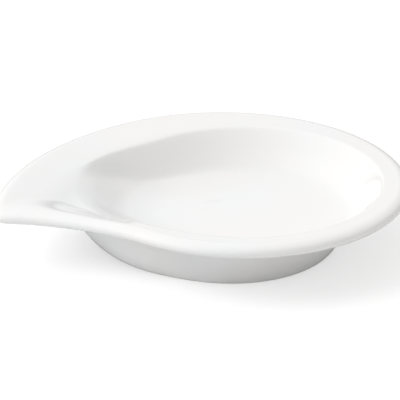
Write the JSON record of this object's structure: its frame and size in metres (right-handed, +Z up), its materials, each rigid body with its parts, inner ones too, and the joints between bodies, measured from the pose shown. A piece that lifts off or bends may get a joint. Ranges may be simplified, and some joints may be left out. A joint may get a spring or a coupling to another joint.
{
  "type": "teardrop dish",
  "caption": "Small shallow dish in white glazed porcelain: a round well, a softly crowned rim that sweeps out on one side to a rounded tip, and a low foot.",
  "frame": {"origin": "on the table under the dish, in the middle of its length and width", "axes": "+Z up out of the well; +X along the length, away from the tip; the hollow neck beside the tip is on the -Y side"},
  "size_m": [0.1268, 0.1066, 0.02],
  "materials": {
    "glaze": "clear gloss glaze over white porcelain"
  },
  "bodies": {
    "root": {"dish": "glaze"}
  },
  "joints": []
}
